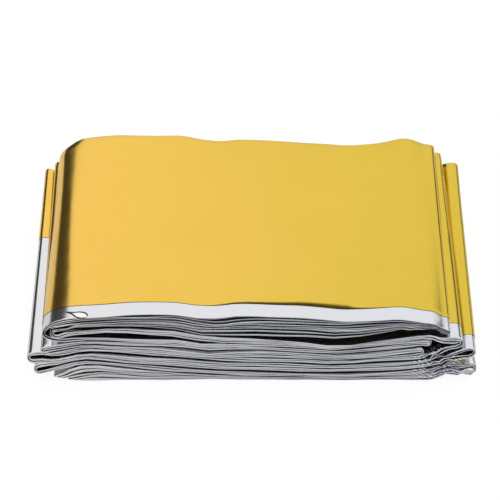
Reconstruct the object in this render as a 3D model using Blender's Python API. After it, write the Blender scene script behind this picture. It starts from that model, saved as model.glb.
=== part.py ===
"""An emergency foil blanket, folded into its packet and lying on a flat surface.

The blanket is one sheet of metallised film, 1.6 m by 2.1 m. Its 2.1 m side is pleated into a
strip 84 mm deep and 25 plies thick, and the strip, 1.6 m long, is then folded back and forth,
left and right, into the packet. This model is that strip: one closed solid, a thick band that
starts halfway along a run inside the packet and ends at the left of the lowest run.

Inside, sizes are millimetres: +X to the right, +Y to the back, +Z up.
"""

import math
from collections import namedtuple

import bmesh
import bpy
import numpy as np

TO_METRES = 0.001

# ---------------------------------------------------------------- driving dimensions

STRIP_DEPTH = 84.0  # front fold to back fold of the pleated strip
PRESSED = 1.1  # the 25 plies where they are pressed together
LEAST_GAP = 0.35  # air between two runs that lie on each other
TIGHTEST_TURN = 0.75  # least radius of the strip's middle at the tip of a fold
TURN_STEPS = 6  # straight pieces in each half turn
WIDE_TURN_STEPS = 10  # the same in a fold that goes round other runs
LOOSE_RUNS = (0, 1, 2)  # the upper runs, whose thickness the sections give one by one
LAST_RUN = 11  # the lowest run, which carries the packet
FIRST_RUN = 6  # the run where the strip starts
FIRST_END = -12.0  # where in that run, in X
CLOSES_OVER = 9.0  # to the left of there the runs above come down over this distance
LAST_END = -64.0  # the strip's other end, at the left of the lowest run

# Where each section is taken between the front (0) and back (1) of the strip.
DEPTH_STATIONS = (0.0, 0.05, 0.13, 0.28, 0.46, 0.64, 0.80, 0.92, 1.0)
# Where each run has a point, as far as it goes between its two folds.
LEFT_STATIONS = (-69.0, -65.0, -60.0, -54.0, -38.0, -22.0, -12.0)
RIGHT_STATIONS = (4.0, 18.0, 30.0, 42.0, 51.0, 57.0, 61.0, 64.0, 66.0, 68.0, 70.0)
FOLD_CLEARANCE = 3.0  # no station nearer than this to a fold, at the middle of the depth
ROUNDING = (-2.0, -1.0, 0.0, 1.0, 2.0)  # a table's corners are averaged over these shifts in X
SLOPE_STEP = 0.2  # over which the slope of a run at its fold is taken

# ---------------------------------------------------------------- tables

# The runs from the top down, in the order that they lie. front is where a run's front fold
# lies in Y: they slope a little forward towards the bottom, and no two are quite in line.
Run = namedtuple("Run", "level front")
RUNS = (
    Run(0, -41.5),
    Run(1, -41.9),
    Run(2, -41.6),
    Run(3, -42.0),
    Run(4, -41.8),
    Run(5, -42.3),
    Run(6, -41.9),
    Run(7, -41.3),
    Run(8, -41.6),
    Run(9, -42.6),
    Run(10, -43.0),
    Run(11, -43.4),
)

# The strip's way through the packet: each fold takes it from one run to another. begins is
# where a fold leaves its two runs and reach is how far it bulges past there, both at the
# front and at the back.
Fold = namedtuple("Fold", "upper lower begins_front begins_back reach_front reach_back")
LEFT_FOLDS = (
    Fold(0, 3, -60.0, -60.0, 8.5, 5.6),
    Fold(1, 2, -63.0, -61.0, 2.1, 1.5),
    Fold(4, 5, -68.2, -67.8, 1.2, 1.2),
    Fold(7, 8, -72.4, -71.4, 1.2, 1.2),
    Fold(9, 10, -70.4, -68.6, 1.2, 1.2),
)
RIGHT_FOLDS = (
    Fold(0, 1, 64.3, 64.6, 1.3, 1.4),
    Fold(2, 7, 61.5, 60.5, 8.6, 6.9),
    Fold(3, 4, 62.5, 61.4, 1.2, 1.2),
    Fold(5, 6, 62.5, 61.4, 1.2, 1.2),
    Fold(8, 9, 74.8, 71.8, 1.2, 1.2),
    Fold(10, 11, 73.4, 69.6, 1.2, 1.2),
)
STRIP_ORDER = (6, 5, 4, 3, 0, 1, 2, 7, 8, 9, 10, 11)

# Sections across the packet at its front and at its back. t is the thickness of the three
# loose upper runs, gap the air under each, and spread what the runs between them and the
# lowest one add together to their pressed thickness.
Section = namedtuple("Section", "x t0 gap0 t1 gap1 t2 gap2 spread")
FRONT_SECTIONS = (
    Section(-73.0, 2.9, 0.35, 1.9, 0.40, 2.0, 1.0, 6.0),
    Section(-60.0, 3.4, 0.35, 2.1, 0.40, 2.1, 1.2, 7.3),
    Section(-47.0, 3.7, 0.35, 2.1, 0.35, 2.4, 2.6, 8.3),
    Section(-24.0, 4.6, 0.35, 2.8, 0.35, 3.3, 1.2, 8.4),
    Section(-12.0, 5.2, 0.35, 3.2, 0.60, 2.7, 0.5, 4.6),
    Section(0.0, 5.1, 0.35, 3.8, 1.20, 1.9, 0.35, 4.4),
    Section(16.0, 4.9, 0.35, 3.9, 2.20, 1.2, 0.35, 3.2),
    Section(30.0, 4.8, 0.35, 3.9, 2.90, 1.1, 0.35, 1.0),
    Section(50.0, 3.0, 0.35, 2.5, 3.50, 1.1, 0.35, 5.4),
    Section(62.0, 1.4, 0.35, 1.3, 2.60, 1.3, 0.35, 6.5),
    Section(76.0, 1.3, 0.35, 1.2, 2.60, 1.3, 0.35, 6.4),
)
BACK_SECTIONS = (
    Section(-73.0, 3.9, 0.40, 2.6, 0.70, 2.2, 0.60, 6.9),
    Section(-60.0, 4.0, 0.40, 2.7, 0.70, 2.2, 0.60, 6.9),
    Section(-47.0, 4.3, 0.40, 3.0, 0.70, 2.4, 0.60, 7.2),
    Section(-24.0, 3.5, 0.40, 2.8, 0.70, 2.5, 0.60, 8.4),
    Section(-12.0, 3.2, 0.40, 2.8, 0.70, 2.5, 0.60, 5.2),
    Section(0.0, 3.1, 0.40, 2.7, 0.70, 2.5, 0.50, 5.2),
    Section(16.0, 3.0, 0.40, 2.7, 0.60, 2.4, 0.50, 4.8),
    Section(34.0, 2.9, 0.40, 2.6, 0.60, 2.3, 0.50, 3.4),
    Section(47.0, 3.0, 0.40, 2.8, 0.70, 2.4, 0.50, 3.9),
    Section(55.0, 3.4, 0.40, 3.0, 1.00, 2.2, 0.50, 4.8),
    Section(63.0, 2.0, 0.40, 1.8, 1.20, 1.6, 0.40, 5.0),
    Section(76.0, 2.0, 0.40, 1.8, 1.20, 1.6, 0.40, 5.0),
)
WEDGE_DIES_OUT = 0.5  # share of the depth over which the front's open wedges close up

# The top run springs up behind its front lip, where the sheet under its gold edge dips.
LIP_RISE = 1.4
LIP_RISE_X = 30.0
LIP_RISE_WIDTH = 30.0
LIP_DEPTH = 0.09

# Right ends of runs that curl up, by front or back mm. The lower pair starts first, and each
# lift raises the run at level and those above it up to the run at carries.
Lift = namedtuple("Lift", "level carries starts full front back")
LIFTS = (
    Lift(11, 10, 62.5, 74.5, 3.9, 1.6),
    Lift(9, 8, 63.5, 76.5, 6.9, 2.9),
)


# ---------------------------------------------------------------- the packet's section


def ease(value):
    """0 below 0, 1 above 1, and a smooth rise between."""
    value = np.clip(value, 0.0, 1.0)
    return value * value * (3.0 - 2.0 * value)


def blend(front, back, depth):
    return front + (back - front) * depth


def column(sections, name, x):
    """One column of a table of sections at x, with its corners rounded off."""
    places = [section.x for section in sections]
    values = [getattr(section, name) for section in sections]
    return sum(np.interp(x + shift, places, values) for shift in ROUNDING) / len(ROUNDING)


def at(name, x, depth):
    """A column at x, between the front and the back of the strip."""
    front = column(FRONT_SECTIONS, name, x)
    back = column(BACK_SECTIONS, name, x)
    if name.startswith("gap"):
        wedge = np.maximum(front - back, 0.0)
        return blend(front - wedge, back, depth) + wedge * (1.0 - ease(depth / WEDGE_DIES_OUT))
    return blend(front, back, depth)


def thickness(level, x, depth):
    """How thick the strip is in a run."""
    if level in LOOSE_RUNS:
        thick = at(f"t{level}", x, depth)
        if level == 0:
            ridge = np.maximum(1.0 - abs(x - LIP_RISE_X) / LIP_RISE_WIDTH, 0.0)
            behind = ease(depth / LIP_DEPTH) * (1.0 - depth)
            thick = thick + LIP_RISE * ridge * behind
        return thick
    if level < LAST_RUN:
        return PRESSED + at("spread", x, depth) / (LAST_RUN - len(LOOSE_RUNS))
    return PRESSED


def gap_under(level, x, depth):
    """Air between a run and the one below it."""
    if level in LOOSE_RUNS:
        return at(f"gap{level}", x, depth)
    return LEAST_GAP


def presence(level, x):
    """1 where a run is there, and down to 0 past the strip's first end."""
    if level == FIRST_RUN:
        return ease((x - FIRST_END + CLOSES_OVER) / CLOSES_OVER)
    return 1.0


def lift_of(level, x, depth, run):
    """How far the lift at a level, if it has one, raises a run."""
    total = 0.0 * x
    for lift in LIFTS:
        if lift.level == level and run >= lift.carries:
            share = ease((x - lift.starts) / (lift.full - lift.starts))
            total = total + blend(lift.front, lift.back, depth) * share
    return total


def middle(run, x, depth):
    """Height of the middle of a run at x: what lies below it, and half its own thickness."""
    height = 0.0
    for level in range(LAST_RUN, run - 1, -1):
        height = height + lift_of(level, x, depth, run)
        if level > run:
            room = thickness(level, x, depth) + gap_under(level - 1, x, depth)
            height = height + room * presence(level, x)
    return height + thickness(run, x, depth) / 2


def fold_at(run, side):
    """The fold that a run goes into on that side, or None at an end of the strip."""
    for fold in LEFT_FOLDS if side < 0 else RIGHT_FOLDS:
        if run in (fold.upper, fold.lower):
            return fold
    return None


def run_ends(run, depth):
    """Where a run's folds begin, left and right."""
    ends = []
    for side in (-1, +1):
        fold = fold_at(run, side)
        if fold:
            ends.append(blend(fold.begins_front, fold.begins_back, depth))
        else:
            ends.append(FIRST_END if run == FIRST_RUN else LAST_END)
    return ends


def run_places(run, depth):
    """The X of each point of a run, from left to right."""
    left, right = run_ends(run, depth)
    least, most = np.array(run_ends(run, 0.5)) + (FOLD_CLEARANCE, -FOLD_CLEARANCE)
    inner = [x for x in (*LEFT_STATIONS, *RIGHT_STATIONS) if least < x < most]
    return np.array([left, *inner, right])


def turn(fold, side, depth, downwards):
    """Points round a fold, between its two runs: half an ellipse that leaves both smoothly."""
    x = blend(fold.begins_front, fold.begins_back, depth)
    reach = blend(fold.reach_front, fold.reach_back, depth)
    step = SLOPE_STEP * side
    ends, slopes, thicks = [], [], []
    for run in (fold.upper, fold.lower):
        ends.append(middle(run, x, depth))
        slopes.append((ends[-1] - middle(run, x - step, depth)) / step)
        thicks.append(thickness(run, x, depth))
    half = (ends[0] - ends[1]) / 2
    slope = (slopes[0] + slopes[1]) / 2
    level_share = math.cos(math.atan(slope))
    reach = max(half, min(reach, half * half / TIGHTEST_TURN))
    along = side * level_share * np.array([1.0, slope])
    points = []
    steps = TURN_STEPS if abs(fold.lower - fold.upper) == 1 else WIDE_TURN_STEPS
    for number in range(1, steps):
        angle = math.pi * number / steps
        share = (1.0 - math.cos(angle)) / 2
        centre = np.array([x, (ends[0] + ends[1]) / 2])
        place = centre + np.array([0.0, half * math.cos(angle)]) + along * reach * math.sin(angle)
        loose = blend(thicks[0], thicks[1], share) - PRESSED
        thick = (PRESSED + loose * math.cos(angle) ** 2) * level_share
        front = blend(RUNS[fold.upper].front, RUNS[fold.lower].front, share)
        points.append((place[0], place[1], thick, front))
    return points if downwards else points[::-1]


def strip_line(depth):
    """The strip's middle at one depth: rows of x, z, thickness and where its front lies."""
    rows = []
    for number, run in enumerate(STRIP_ORDER):
        to_right = number % 2 == 0
        places = run_places(run, depth)
        places = places if to_right else places[::-1]
        heights = middle(run, places, depth)
        level_share = np.cos(np.arctan(np.gradient(heights, places)))
        thicks = thickness(run, places, depth) * level_share
        rows += [(x, z, t, RUNS[run].front) for x, z, t in zip(places, heights, thicks)]
        if number + 1 < len(STRIP_ORDER):
            side = +1 if to_right else -1
            below = STRIP_ORDER[number + 1] > run
            rows += turn(fold_at(run, side), side, depth, below)
    return np.array(rows)


def faces_of_strip(depth):
    """The strip's two faces at one depth, as two rows of points (x, y, z)."""
    line = strip_line(depth)
    middle_line, thick, front = line[:, :2], line[:, 2], line[:, 3]
    along = np.gradient(middle_line, axis=0)
    along /= np.linalg.norm(along, axis=1)[:, None]
    across = np.stack([-along[:, 1], along[:, 0]], axis=1)
    y = front + STRIP_DEPTH * depth
    sides = []
    for sign in (+0.5, -0.5):
        offset = middle_line + across * (sign * thick)[:, None]
        sides.append(np.stack([offset[:, 0], y, offset[:, 1]], axis=1))
    return sides


# ---------------------------------------------------------------- building


def build_strip():
    """The closed solid of the folded strip, its footprint centred on the origin."""
    sections = [faces_of_strip(depth) for depth in DEPTH_STATIONS]
    corners = np.array(sections)  # depth, face, place along the strip, xyz
    low, high = corners.min(axis=(0, 1, 2)), corners.max(axis=(0, 1, 2))
    corners -= [(low[0] + high[0]) / 2, (low[1] + high[1]) / 2, low[2]]

    bm = bmesh.new()
    verts = [
        [[bm.verts.new(point * TO_METRES) for point in face] for face in section]
        for section in corners
    ]
    places = len(verts[0][0])
    for near, far in zip(verts, verts[1:]):
        for i in range(places - 1):
            bm.faces.new((near[0][i], near[0][i + 1], far[0][i + 1], far[0][i]))
            bm.faces.new((near[1][i + 1], near[1][i], far[1][i], far[1][i + 1]))
        for i in (0, places - 1):
            bm.faces.new((near[0][i], far[0][i], far[1][i], near[1][i]))
    for end in (verts[0], verts[-1]):
        for i in range(places - 1):
            bm.faces.new((end[0][i], end[1][i], end[1][i + 1], end[0][i + 1]))
    bmesh.ops.recalc_face_normals(bm, faces=bm.faces)
    mesh = bpy.data.meshes.new("foil_blanket")
    bm.to_mesh(mesh)
    bm.free()
    mesh.shade_smooth()
    mesh.set_sharp_from_angle(angle=math.radians(40.0))
    return mesh


def film_material():
    """Gold-tinted metallised film."""
    material = bpy.data.materials.new("metallised_film")
    material.use_nodes = True
    shader = material.node_tree.nodes["Principled BSDF"]
    shader.inputs["Base Color"].default_value = (0.83, 0.56, 0.09, 1.0)
    shader.inputs["Metallic"].default_value = 1.0
    shader.inputs["Roughness"].default_value = 0.22
    return material


def main():
    for obj in list(bpy.data.objects):
        bpy.data.objects.remove(obj)
    blanket = bpy.data.objects.new("foil_blanket", build_strip())
    blanket.data.materials.append(film_material())
    bpy.context.scene.collection.objects.link(blanket)


main()
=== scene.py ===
# %% [markdown]
# # An emergency foil blanket, folded in its packet
#
# The real thing is one sheet of polyester film, 1.6 m by 2.1 m and thinner than a hair, with
# aluminium on one side and a gold lacquer on the other. A machine pleats its long side into a
# strip about 83 mm deep, and the strip is then folded left and right into a packet. This
# lesson builds that sheet as one continuous mesh, through every pleat and every fold, because
# the edges that make the packet look like foil are the pleats themselves.

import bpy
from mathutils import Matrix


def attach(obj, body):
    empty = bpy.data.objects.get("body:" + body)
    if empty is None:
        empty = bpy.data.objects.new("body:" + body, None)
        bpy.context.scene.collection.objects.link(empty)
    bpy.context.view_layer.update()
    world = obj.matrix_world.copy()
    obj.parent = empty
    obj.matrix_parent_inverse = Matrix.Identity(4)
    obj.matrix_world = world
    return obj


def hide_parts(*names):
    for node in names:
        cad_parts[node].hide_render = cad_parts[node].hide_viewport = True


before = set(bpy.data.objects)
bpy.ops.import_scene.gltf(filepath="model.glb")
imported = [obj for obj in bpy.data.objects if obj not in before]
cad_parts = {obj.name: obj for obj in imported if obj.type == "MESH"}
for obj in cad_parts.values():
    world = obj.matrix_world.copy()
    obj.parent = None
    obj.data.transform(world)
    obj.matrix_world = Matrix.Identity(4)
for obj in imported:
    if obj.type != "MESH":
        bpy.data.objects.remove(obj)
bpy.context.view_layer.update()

# %% [markdown]
# ## Units
#
# Blender counts in metres, but a packet this small is easier to think about in millimetres.
# So lengths are in millimetres, with X to the right, Y to the back and Z up, and one constant
# turns them into metres when a mesh is made. Only the shader nodes, which read the finished
# mesh, and the last lines, which hand it over, count in metres.

# %% Imports and units
import math
from collections import namedtuple

import bpy
import numpy as np
from mathutils import Matrix, Vector, noise

TO_METRES = 0.001
print("1 mm is", TO_METRES, "m")

# %% [markdown]
# ## The runs of the strip
#
# Think of the pleated strip as a thick ribbon. It lies in twelve runs, numbered from the top
# down. It starts inside the packet, halfway along run 6, and ends at the lower left. One table
# of runs puts what differs between them side by side. A run's front is the Y where its pleats
# end, its gaping is the share of its thickness that is air there, and its slant is how much
# each pleat leans back. Its margin is how far the sheet's gold edge lies behind the front, and
# its proud folds are the pleats that stand forward of the rest.

# %% Runs
STRIP_ORDER = (6, 5, 4, 3, 0, 1, 2, 7, 8, 9, 10, 11)
FIRST_RUN = STRIP_ORDER[0]
LAST_RUN = STRIP_ORDER[-1]
FIRST_END = -12.0
LAST_END = -65.5

Run = namedtuple("Run", "level front gaping slant margin proud")
RUNS = (
    Run(0, -41.7, 0.72, 0.90, 5.4, (0, 3, 6, 9, 11)),
    Run(1, -41.8, 0.68, 0.88, 5.6, (0, 6, 11)),
    Run(2, -41.9, 0.30, 0.20, 6.0, (0, 9, 11)),
    Run(3, -42.0, 0.20, 0.10, 8.0, (0, 11)),
    Run(4, -42.1, 0.17, 0.20, 12.0, (0, 6, 11)),
    Run(5, -42.5, 0.20, 0.00, 11.0, (0, 11)),
    Run(6, -42.3, 0.17, 0.00, 9.0, (0, 11)),
    Run(7, -42.5, 0.19, 0.20, 7.0, (0, 11)),
    Run(8, -42.9, 0.17, 0.00, 5.6, (0, 11)),
    Run(9, -43.2, 0.19, 0.20, 6.0, (0, 11)),
    Run(10, -43.6, 0.20, 0.00, 8.5, (0, 6, 11)),
    Run(11, -44.2, 0.30, 0.00, 6.0, (0, 3, 6, 9, 11)),
)
print("runs:", len(RUNS), "in the order", STRIP_ORDER)

# %% [markdown]
# ## The folds between the runs
#
# Each fold carries the ribbon from one run to another. Most join neighbours, and two wide ones
# go round several runs. The table says at which X a fold begins and how far it reaches out, at
# the front and at the back of the ribbon, because a hand-folded packet is never square. Its
# power, also for front and back, is 1 for a plain half ellipse and less for a fuller upper half.

# %% Folds
Fold = namedtuple(
    "Fold", "upper lower begins_front begins_back reach_front reach_back power", defaults=((1.0, 1.0),)
)
LEFT_FOLDS = (
    Fold(0, 3, -57.9, -62.4, 10.6, 4.4, (0.9, 0.8)),
    Fold(1, 2, -63.6, -61.0, 2.2, 1.5),
    Fold(4, 5, -68.2, -67.8, 1.2, 1.2),
    Fold(7, 8, -72.4, -71.4, 1.2, 1.2),
    Fold(9, 10, -70.4, -68.6, 1.2, 1.2),
)
RIGHT_FOLDS = (
    Fold(0, 1, 65.0, 63.3, 1.3, 1.4),
    Fold(2, 7, 67.3, 61.4, 3.1, 7.0, (0.8, 0.3)),
    Fold(3, 4, 58.6, 58.4, 1.2, 1.2),
    Fold(5, 6, 56.8, 57.4, 1.2, 1.2),
    Fold(8, 9, 72.8, 72.3, 1.2, 1.2),
    Fold(10, 11, 74.0, 69.6, 1.2, 1.2),
)
print("folds:", len(LEFT_FOLDS), "on the left and", len(RIGHT_FOLDS), "on the right")

# %% [markdown]
# ## How thick the packet is, and where it gapes
#
# Foil is springy, so the upper runs never lie flat. Two long dark wedges open in the front,
# and the top dips into a V near its right third. Each row of these tables is one section
# across the packet: the thickness of the three loose upper runs (t) and the air under each
# (gap), how much the pressed runs below have spread together, and what the last run has more.
# The first table is for the front of the strip and the second for its back.

# %% Sections across the packet
Section = namedtuple("Section", "x t0 gap0 t1 gap1 t2 gap2 spread last")
FRONT_SECTIONS = (
    Section(-73.0, 2.9, 0.35, 1.9, 0.40, 2.0, 1.60, 6.7, 0.3),
    Section(-69.5, 3.1, 0.35, 2.1, 0.60, 2.3, 1.20, 6.3, 1.0),
    Section(-65.4, 3.4, 0.35, 2.4, 0.80, 2.5, 0.70, 4.6, 3.2),
    Section(-60.5, 3.8, 0.35, 2.5, 0.70, 2.3, 1.30, 3.4, 4.8),
    Section(-55.0, 3.8, 0.35, 2.2, 0.45, 2.2, 2.30, 1.5, 6.8),
    Section(-50.0, 3.8, 0.35, 2.1, 0.40, 2.2, 2.60, 2.1, 6.3),
    Section(-40.0, 4.0, 0.35, 2.3, 0.35, 2.4, 2.40, 4.1, 4.4),
    Section(-24.0, 4.4, 0.35, 2.7, 0.35, 3.0, 1.30, 6.2, 2.2),
    Section(-12.0, 5.3, 0.35, 3.2, 0.60, 2.7, 0.50, 3.5, 1.3),
    Section(0.0, 5.5, 0.35, 3.6, 1.40, 1.9, 0.35, 3.6, 0.8),
    Section(16.0, 5.6, 0.35, 3.6, 2.50, 1.2, 0.35, 3.1, 0.4),
    Section(30.0, 4.7, 0.35, 3.9, 3.00, 1.1, 0.35, 1.5, 0.0),
    Section(50.0, 3.1, 0.35, 2.5, 3.30, 1.2, 0.35, 4.6, 0.8),
    Section(57.5, 1.6, 0.35, 1.4, 2.20, 1.7, 0.35, 4.4, 1.8),
    Section(62.0, 1.3, 0.35, 1.3, 1.90, 3.0, 0.35, 4.4, 1.8),
    Section(66.0, 1.2, 0.35, 1.2, 0.50, 3.8, 0.35, 4.4, 1.8),
    Section(76.0, 1.2, 0.35, 1.2, 0.50, 3.8, 0.35, 4.7, 1.5),
)
BACK_SECTIONS = (
    Section(-73.0, 3.9, 0.40, 2.6, 0.70, 2.2, 0.60, 4.6, 0.0),
    Section(-60.0, 4.3, 0.40, 2.7, 0.70, 2.2, 0.60, 6.9, 0.0),
    Section(-47.0, 5.0, 0.40, 3.0, 0.70, 2.4, 0.60, 7.2, 0.0),
    Section(-24.0, 4.2, 0.40, 2.8, 0.70, 2.5, 0.60, 8.4, 0.0),
    Section(-12.0, 3.6, 0.40, 2.8, 0.70, 2.5, 0.60, 5.2, 0.0),
    Section(0.0, 3.1, 0.40, 2.7, 0.70, 2.5, 0.50, 5.2, 0.0),
    Section(16.0, 2.5, 0.40, 2.7, 0.60, 2.4, 0.50, 4.8, 0.0),
    Section(34.0, 2.1, 0.40, 2.6, 0.60, 2.3, 0.50, 3.4, 0.0),
    Section(46.0, 2.7, 0.40, 2.8, 0.70, 2.4, 0.50, 3.9, 0.0),
    Section(55.0, 3.7, 0.40, 2.8, 1.00, 2.1, 0.50, 5.4, 0.0),
    Section(61.0, 1.7, 0.40, 1.7, 2.60, 1.4, 0.40, 4.6, 0.0),
    Section(76.0, 1.0, 0.40, 1.2, 2.60, 1.4, 0.40, 4.6, 0.0),
)
print("sections:", len(FRONT_SECTIONS), "at the front and", len(BACK_SECTIONS), "at the back")

# %% [markdown]
# A table says a value at a few places. Straight lines join them, and the mean of five readings
# close together rounds their corners off. A wedge is the air that the front has more than the
# back, and it has died out halfway to the back.

# %% Reading the sections
ROUNDING = (-2.0, -1.0, 0.0, 1.0, 2.0)
WEDGE_DIES_OUT = 0.5


def ease(value):
    """0 below 0, 1 above 1, and a smooth rise between."""
    value = np.clip(value, 0.0, 1.0)
    return value * value * (3.0 - 2.0 * value)


def blend(first, second, share):
    """The first where the share is 0, the second where it is 1, and a straight line between."""
    return first + (second - first) * share


def column(sections, name, x):
    """One column of a table of sections at x, with its corners rounded off."""
    places = [section.x for section in sections]
    values = [getattr(section, name) for section in sections]
    return sum(np.interp(x + shift, places, values) for shift in ROUNDING) / len(ROUNDING)


def at(name, x, depth):
    """A column at x, between the front (0) and the back (1) of the strip."""
    front = column(FRONT_SECTIONS, name, x)
    back = column(BACK_SECTIONS, name, x)
    if name.startswith("gap"):
        wedge = np.maximum(front - back, 0.0)
        return blend(front - wedge, back, depth) + wedge * (1.0 - ease(depth / WEDGE_DIES_OUT))
    return blend(front, back, depth)


wedge = [round(float(at("gap1", 30.0, depth)), 2) for depth in (0.0, 0.25, 0.5)]
print("the upper wedge at X 30, from the front to halfway back:", wedge, "mm")

# %% [markdown]
# ## Where the ends stand apart
#
# At the two ends of the packet the low runs spread like the pages of a used book, and one
# section can't say that. A lift raises or lowers a run and those on top of it, up to the
# topmost one that it carries. It grows from nothing where it starts to its full height, and
# that height differs between the front and the back.

# %% Lifts
Lift = namedtuple("Lift", "level carries starts full front back")
LIFTS = (
    Lift(2, 0, 59.3, 64.5, -2.8, 0.0),
    Lift(7, 7, 55.5, 69.0, 5.2, 0.0),
    Lift(7, 7, 58.0, 63.0, 0.0, 5.0),
    Lift(8, 8, 57.5, 62.0, 0.9, 0.0),
    Lift(8, 8, 64.0, 69.0, -0.9, 0.0),
    Lift(9, 8, 58.5, 75.0, 7.2, 0.0),
    Lift(9, 8, 60.2, 70.4, 0.0, 10.4),
    Lift(9, 9, 65.0, 73.0, -2.2, 0.0),
    Lift(11, 10, 59.5, 67.0, 2.9, 3.0),
    Lift(10, 9, -50.0, -69.0, 1.0, 0.0),
    Lift(9, 9, -62.0, -69.0, 1.1, 0.0),
    Lift(8, 7, -64.0, -70.5, 2.0, 5.6),
    Lift(7, 7, -61.0, -70.0, 0.8, 0.0),
    Lift(5, 4, -60.0, -66.5, 0.3, 3.9),
)


def lift_of(level, x, depth, run):
    """How far the lifts of one level raise a run that lies on it."""
    total = 0.0 * x
    for lift in LIFTS:
        if lift.level == level and run >= lift.carries:
            share = ease((x - lift.starts) / (lift.full - lift.starts))
            total = total + blend(lift.front, lift.back, depth) * share
    return total


print("run 9 rises at its right end by", round(float(lift_of(9, 72.0, 0.0, 9)), 1), "mm")

# %% [markdown]
# ## Thickness and height of a run
#
# A pressed run is about a millimetre thick. The strip's two free ends thin out to a tip,
# because not all of their plies stop at one place. A run's height needs no table of its own:
# it is what lies below it, added up, so the runs rest on each other by themselves.

# %% Thickness and height
PRESSED = 1.05
LEAST_GAP = 0.4
LOOSE_RUNS = (0, 1, 2)
TIP_THICKNESS = 0.25
TIP_LENGTH = 9.0
CLOSES_OVER = 6.0


def thickness(level, x, depth):
    """How thick a run is, with the air between its plies."""
    if level in LOOSE_RUNS:
        return at(f"t{level}", x, depth)
    if level == LAST_RUN:
        tip = blend(TIP_THICKNESS, 1.0, ease((x - LAST_END) / TIP_LENGTH))
        return PRESSED * tip + at("last", x, depth)
    thick = PRESSED + at("spread", x, depth) / (LAST_RUN - len(LOOSE_RUNS))
    if level == FIRST_RUN:
        return thick * blend(TIP_THICKNESS, 1.0, ease((x - FIRST_END) / TIP_LENGTH))
    return thick


def gap_under(level, x, depth):
    """The air between a run and the next one down."""
    return at(f"gap{level}", x, depth) if level in LOOSE_RUNS else LEAST_GAP


def presence(level, x):
    """1 where a run is there, and down to 0 past the strip's first end."""
    if level == FIRST_RUN:
        return ease((x - FIRST_END + CLOSES_OVER) / CLOSES_OVER)
    return 1.0


def middle(run, x, depth):
    """Height of the middle of a run: what lies below it, and half its own thickness."""
    height = 0.0
    for level in range(LAST_RUN, run - 1, -1):
        height = height + lift_of(level, x, depth, run)
        if level > run:
            room = thickness(level, x, depth) + gap_under(level - 1, x, depth)
            height = height + room * presence(level, x)
    return height + thickness(run, x, depth) / 2


print("heights of the runs at X 0:", [round(float(middle(run.level, 0.0, 0.0)), 1) for run in RUNS])

# %% [markdown]
# ## Stations along a run
#
# The mesh gets one column of points at each station. Stations crowd towards a run's ends,
# where the film is most crumpled, and stand wide apart in its calm middle, so the points go
# where they are seen. The table says how far apart they stand, in the top run and in the low
# ones. Every depth uses the same stations, because each joins its neighbour behind it.

# %% Stations
Spacing = namedtuple("Spacing", "x top low")
SPACINGS = (
    Spacing(-74.0, 1.5, 3.2),
    Spacing(-60.0, 1.5, 2.8),
    Spacing(-48.0, 2.6, 7.0),
    Spacing(0.0, 3.6, 9.0),
    Spacing(44.0, 3.0, 8.0),
    Spacing(52.0, 2.4, 2.4),
    Spacing(58.0, 2.0, 1.6),
    Spacing(72.0, 2.0, 1.6),
    Spacing(76.0, 2.0, 2.0),
)
COUNTING_STEPS = 400


def fold_at(run, side):
    """The fold at the left (-1) or right (+1) end of a run, or None at a free end."""
    for fold in LEFT_FOLDS if side < 0 else RIGHT_FOLDS:
        if run in (fold.upper, fold.lower):
            return fold
    return None


def run_ends(run, depth):
    """The X of the left and the right end of a run."""
    ends = []
    for side in (-1, +1):
        fold = fold_at(run, side)
        if fold:
            ends.append(blend(fold.begins_front, fold.begins_back, depth))
        else:
            ends.append(FIRST_END if run == FIRST_RUN else LAST_END)
    return ends


def run_shares(run):
    """How far along its run each station stands, from 0 to 1."""
    left, right = run_ends(run, 0.0)
    fine = np.linspace(left, right, COUNTING_STEPS)
    apart = [row.top if run == 0 else row.low for row in SPACINGS]
    crowd = 1.0 / np.interp(fine, [row.x for row in SPACINGS], apart)
    counted = np.concatenate(([0.0], np.cumsum(crowd[1:] + crowd[:-1]) / 2 * (fine[1] - fine[0])))
    stations = np.linspace(0.0, counted[-1], round(counted[-1]) + 1)
    return (np.interp(stations, counted, fine) - left) / (right - left)


print("stations on each run of the strip:", [len(run_shares(run)) for run in STRIP_ORDER])

# %% [markdown]
# ## Round a fold
#
# Seen from the front, a fold is half an ellipse from one run to the other. It is tilted as
# much as the runs that it joins, or the film would have a kink where they meet. It reaches out
# at least as far as half a circle, and no further than leaves its tip a small radius. Halfway
# round, the turn presses the plies together, and towards the runs they loosen again.

# %% Turns
TIGHTEST_TURN = 0.75
SLOPE_STEP = 0.2
TURN_STEPS = 6
WIDE_TURN_STEPS = 13


def turn(fold, side, depth, downwards):
    """Rows of x, z, thickness, front and share of the way, round a fold."""
    x = blend(fold.begins_front, fold.begins_back, depth)
    reach = blend(fold.reach_front, fold.reach_back, depth)
    joined = (fold.upper, fold.lower)
    step = SLOPE_STEP * side
    upper, lower = (middle(run, x, depth) for run in joined)
    slopes = [(height - middle(run, x - step, depth)) / step for run, height in zip(joined, (upper, lower))]
    thicks = [thickness(run, x, depth) for run in joined]
    half = (upper - lower) / 2
    slope = sum(slopes) / 2
    level_share = math.cos(math.atan(slope))
    reach = max(half, min(reach, half * half / TIGHTEST_TURN))
    steps = TURN_STEPS if fold.lower - fold.upper == 1 else WIDE_TURN_STEPS
    rows = []
    for number in range(1, steps):
        angle = math.pi * number / steps
        share = (1.0 - math.cos(angle)) / 2
        power = blend(*fold.power, depth) if share < 0.5 else 1.0
        out = reach * math.sin(angle) ** power * level_share
        loose = blend(*thicks, share) - PRESSED
        thick = (PRESSED + loose * math.cos(angle) ** 2) * level_share
        front = blend(RUNS[fold.upper].front, RUNS[fold.lower].front, share)
        height = (upper + lower) / 2 + half * math.cos(angle) + side * slope * out
        rows.append((x + side * out, height, thick, front, share if downwards else 1.0 - share))
    return rows if downwards else rows[::-1]


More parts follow.
